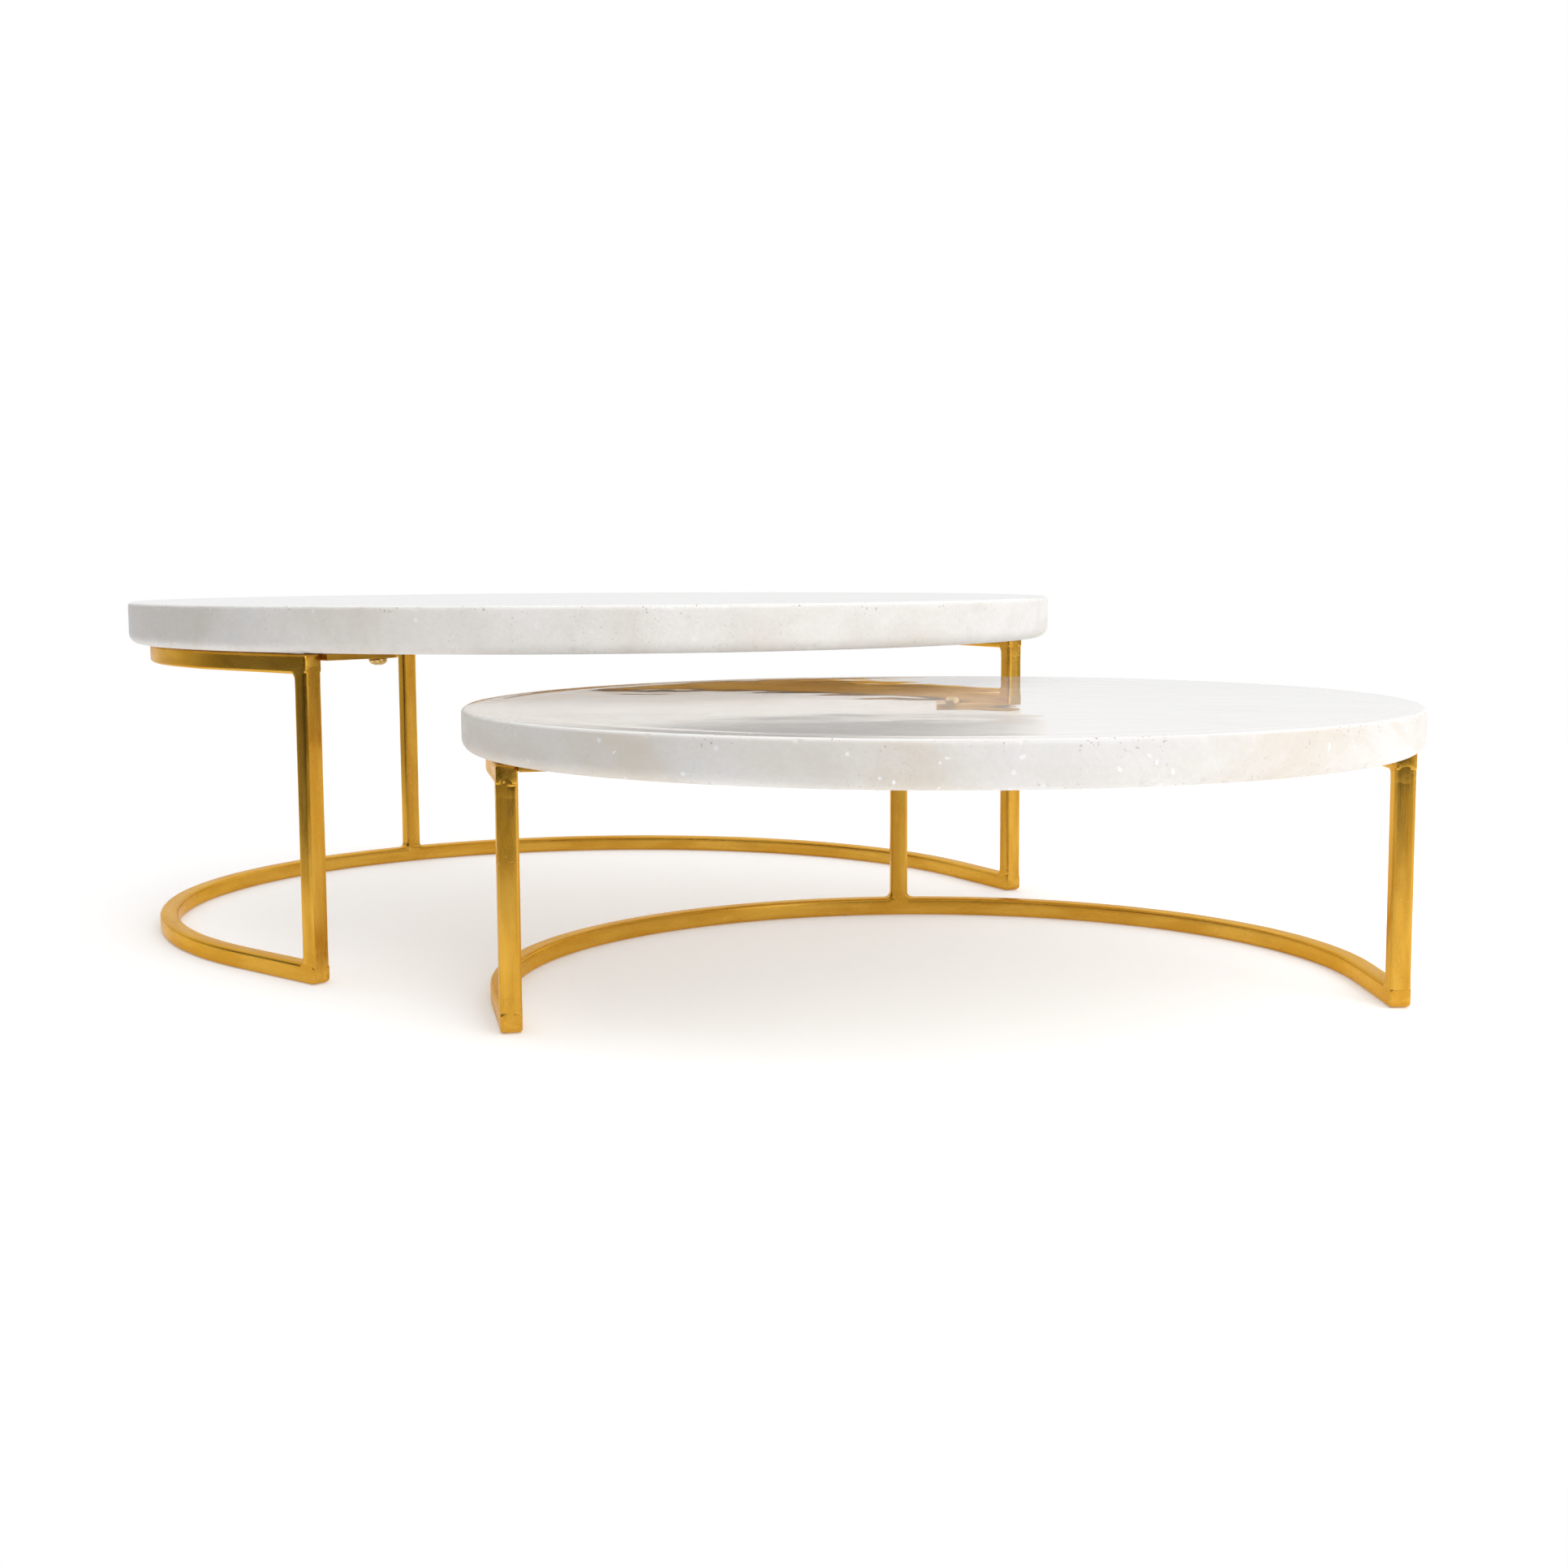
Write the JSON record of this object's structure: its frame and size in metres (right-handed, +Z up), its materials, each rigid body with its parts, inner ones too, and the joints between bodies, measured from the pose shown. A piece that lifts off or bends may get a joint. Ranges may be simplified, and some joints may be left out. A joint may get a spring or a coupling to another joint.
{
  "type": "nesting tables",
  "caption": "Nesting low tables: thick round white stone tops on C-shaped brass bar frames, the smaller sliding in under the larger.",
  "frame": {"origin": "middle of the pair's footprint, on the floor, with the small table drawn out as at rest", "axes": "+X from the large table's axis to the small table's, the way the small one slides out; +Z up; the large table's open side faces +X"},
  "size_m": [0.6064, 0.406, 0.1415],
  "materials": {
    "large_stone": "polished top, honed side",
    "small_stone": "polished top, honed side",
    "large_frame_brass": "satin",
    "small_frame_brass": "satin",
    "tab_brass": "satin",
    "screw_brass": "satin",
    "insert_brass": "machined"
  },
  "bodies": {
    "large_table": {"large_stone_top": "large_stone", "large_lower_ring": "large_frame_brass", "large_upper_ring": "large_frame_brass", "large_left_leg": "large_frame_brass", "large_left_tab": "tab_brass", "large_left_screw": "screw_brass", "large_left_insert": "insert_brass", "large_back_leg": "large_frame_brass", "large_back_tab": "tab_brass", "large_back_screw": "screw_brass", "large_back_insert": "insert_brass", "large_right_leg": "large_frame_brass", "large_right_tab": "tab_brass", "large_right_screw": "screw_brass", "large_right_insert": "insert_brass"},
    "small_table": {"small_stone_top": "small_stone", "small_lower_ring": "small_frame_brass", "small_upper_ring": "small_frame_brass", "small_left_leg": "small_frame_brass", "small_left_tab": "tab_brass", "small_left_screw": "screw_brass", "small_left_insert": "insert_brass", "small_back_leg": "small_frame_brass", "small_back_tab": "tab_brass", "small_back_screw": "screw_brass", "small_back_insert": "insert_brass", "small_right_leg": "small_frame_brass", "small_right_tab": "tab_brass", "small_right_screw": "screw_brass", "small_right_insert": "insert_brass"}
  },
  "joints": [
    {"name": "small_table_slide", "type": "slide", "parent": "large_table", "child": "small_table", "axis": [1, 0, 0], "range_m": [-0.232, 0.146]}
  ]
}
